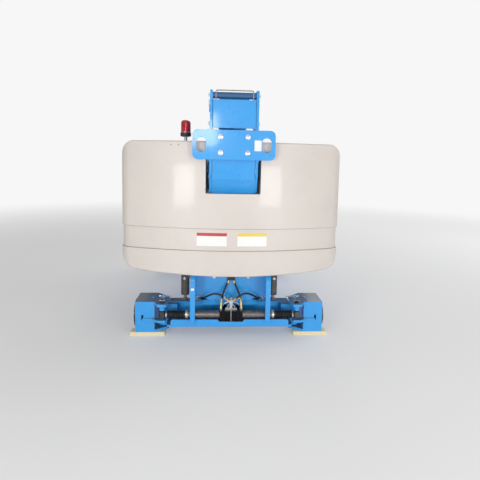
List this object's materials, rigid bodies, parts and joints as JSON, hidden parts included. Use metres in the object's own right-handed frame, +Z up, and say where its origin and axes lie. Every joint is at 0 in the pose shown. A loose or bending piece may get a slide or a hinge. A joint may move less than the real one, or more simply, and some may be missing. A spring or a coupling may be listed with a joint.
{
  "type": "articulated boom lift",
  "caption": "Self-propelled articulated boom lift: slewing turntable with counterweight, riser, telescopic boom and turning work platform, standing on timber without its wheels.",
  "frame": {"origin": "on the floor under the middle of the machine's outline, on its centreline", "axes": "+Z up, -Y the counterweight end, +Y the platform end, +X to the right from behind the counterweight looking to the platform"},
  "size_m": [2.17, 6.962, 2.435],
  "materials": {
    "blue_paint": "gloss",
    "grey_shell": "satin",
    "dark_paint": "satin",
    "rubber": "matte",
    "steel": "satin",
    "chrome": "polished",
    "timber": "sawn",
    "red_lens": "gloss",
    "cast": "rough",
    "floor": "satin",
    "tank": "satin"
  },
  "bodies": {
    "chassis": {"chassis_frame": "blue_paint", "steer_axle": "blue_paint", "drive_axle": "blue_paint", "steer_cylinder": "dark_paint", "boot_left": "rubber", "boot_right": "rubber", "lockout_cylinders": "dark_paint", "slew_ring": "dark_paint", "timber_planks": "timber", "hose_fittings": "steel", "hose_drop_left": "rubber", "hose_drop_right": "rubber", "hose_loop_left": "rubber", "hose_loop_right": "rubber"},
    "steering_rod": {"steer_rod": "dark_paint"},
    "knuckle_l": {"knuckle_left": "blue_paint"},
    "knuckle_r": {"knuckle_right": "blue_paint"},
    "hub_rl": {"hub_rear_left": "dark_paint"},
    "hub_rr": {"hub_rear_right": "dark_paint"},
    "hub_fl": {"hub_front_left": "dark_paint"},
    "hub_fr": {"hub_front_right": "dark_paint"},
    "turntable": {"turntable_frame": "blue_paint", "counterweight": "grey_shell", "engine_block": "cast", "fluid_tanks": "tank", "beacon": "red_lens"},
    "hood_l": {"hood_left": "grey_shell"},
    "hood_r": {"hood_right": "grey_shell"},
    "riser": {"riser_arm": "blue_paint"},
    "riser_bars": {"riser_link": "blue_paint"},
    "riser_barrel": {"riser_cylinder_barrel": "dark_paint"},
    "riser_rod": {"riser_cylinder_rod": "chrome"},
    "mast": {"upright": "blue_paint", "tie_plate": "blue_paint"},
    "boom": {"main_boom": "blue_paint"},
    "main_barrel": {"main_cylinder_barrel": "dark_paint"},
    "main_rod": {"main_cylinder_rod": "chrome"},
    "fly": {"fly_boom": "blue_paint"},
    "support": {"platform_support": "blue_paint"},
    "platform": {"platform_base": "floor", "platform_rails": "blue_paint", "control_box": "dark_paint"},
    "gate": {"platform_gate": "blue_paint"}
  },
  "joints": [
    {"name": "steer_left", "type": "hinge", "parent": "chassis", "child": "knuckle_l", "pos_m": [-0.69, -3.01, 0.198], "axis": [0, 0, 1], "range_deg": [-32, 32]},
    {"name": "steer_right", "type": "hinge", "parent": "chassis", "child": "knuckle_r", "pos_m": [0.69, -3.01, 0.198], "axis": [0, 0, 1], "range_deg": [-32, 32]},
    {"name": "steer_rod_slide", "type": "slide", "parent": "chassis", "child": "steering_rod", "axis": [1, 0, 0], "range_m": [-0.0985, 0.0985], "deforming": ["boot_left", "boot_right"]},
    {"name": "hub_rear_left_spin", "type": "hinge", "parent": "knuckle_l", "child": "hub_rl", "pos_m": [-0.96, -3.01, 0.198], "axis": [1, 0, 0], "continuous": true},
    {"name": "hub_rear_right_spin", "type": "hinge", "parent": "knuckle_r", "child": "hub_rr", "pos_m": [0.96, -3.01, 0.198], "axis": [1, 0, 0], "continuous": true},
    {"name": "hub_front_left_spin", "type": "hinge", "parent": "chassis", "child": "hub_fl", "pos_m": [-0.96, -0.6, 0.198], "axis": [1, 0, 0], "continuous": true},
    {"name": "hub_front_right_spin", "type": "hinge", "parent": "chassis", "child": "hub_fr", "pos_m": [0.96, -0.6, 0.198], "axis": [1, 0, 0], "continuous": true},
    {"name": "slew", "type": "hinge", "parent": "chassis", "child": "turntable", "pos_m": [0, -2, 0.735], "axis": [0, 0, 1], "continuous": true},
    {"name": "hood_left_hinge", "type": "hinge", "parent": "turntable", "child": "hood_l", "pos_m": [-0.266, -1.769, 1.88], "axis": [0, 1, 0], "range_deg": [0, 60]},
    {"name": "hood_right_hinge", "type": "hinge", "parent": "turntable", "child": "hood_r", "pos_m": [0.266, -1.769, 1.88], "axis": [0, -1, 0], "range_deg": [0, 60]},
    {"name": "riser_lift", "type": "hinge", "parent": "turntable", "child": "riser", "pos_m": [0, -0.85, 1.64], "axis": [-1, 0, 0], "range_deg": [0, 67]},
    {"name": "riser_link_swing", "type": "hinge", "parent": "turntable", "child": "riser_bars", "pos_m": [0, -0.73, 1.73], "axis": [-1, 0, 0], "range_deg": [0, 67]},
    {"name": "upright_level", "type": "hinge", "parent": "riser", "child": "mast", "pos_m": [0, -3.25, 1.64], "axis": [-1, 0, 0], "range_deg": [-67, 0]},
    {"name": "riser_cylinder_swing", "type": "hinge", "parent": "turntable", "child": "riser_barrel", "pos_m": [0, -0.96, 0.96], "axis": [-1, 0, 0], "range_deg": [0, 32.61]},
    {"name": "riser_rod_slide", "type": "slide", "parent": "riser_barrel", "child": "riser_rod", "axis": [0, -0.7237, 0.6902], "range_m": [0, 0.5318]},
    {"name": "main_lift", "type": "hinge", "parent": "mast", "child": "boom", "pos_m": [0, -3.28, 2.29], "axis": [1, 0, 0], "range_deg": [0, 75]},
    {"name": "main_cylinder_swing", "type": "hinge", "parent": "mast", "child": "main_barrel", "pos_m": [0, -3.37, 1.8], "axis": [1, 0, 0], "range_deg": [0, 43.75]},
    {"name": "main_rod_slide", "type": "slide", "parent": "main_barrel", "child": "main_rod", "axis": [0, 0.9598, 0.2806], "range_m": [0, 0.4504]},
    {"name": "telescope", "type": "slide", "parent": "boom", "child": "fly", "axis": [0, 0.9903, -0.1392], "range_m": [0, 3]},
    {"name": "platform_level", "type": "hinge", "parent": "fly", "child": "support", "pos_m": [0, 2.25, 0.76], "axis": [1, 0, 0], "range_deg": [-75, 0]},
    {"name": "platform_rotate", "type": "hinge", "parent": "support", "child": "platform", "pos_m": [0, 2.46, 0.59], "axis": [0, 0, 1], "range_deg": [-80, 80]},
    {"name": "gate_swing", "type": "hinge", "parent": "platform", "child": "gate", "pos_m": [-0.887, 2.885, 0.8], "axis": [0, 0, -1], "range_deg": [0, 90]}
  ],
  "couplings": [
    {"joint": "steer_right", "follows": "steer_left", "ratio": 1},
    {"joint": "steer_rod_slide", "follows": "steer_left", "m_per_rad": 0.1755},
    {"joint": "riser_link_swing", "follows": "riser_lift", "ratio": 1},
    {"joint": "upright_level", "follows": "riser_lift", "ratio": -1},
    {"joint": "riser_cylinder_swing", "follows": "riser_lift", "ratio": 0.486},
    {"joint": "riser_rod_slide", "follows": "riser_lift", "m_per_rad": 0.45432},
    {"joint": "main_cylinder_swing", "follows": "main_lift", "ratio": 0.5827},
    {"joint": "main_rod_slide", "follows": "main_lift", "m_per_rad": 0.34369},
    {"joint": "platform_level", "follows": "main_lift", "ratio": -1}
  ]
}
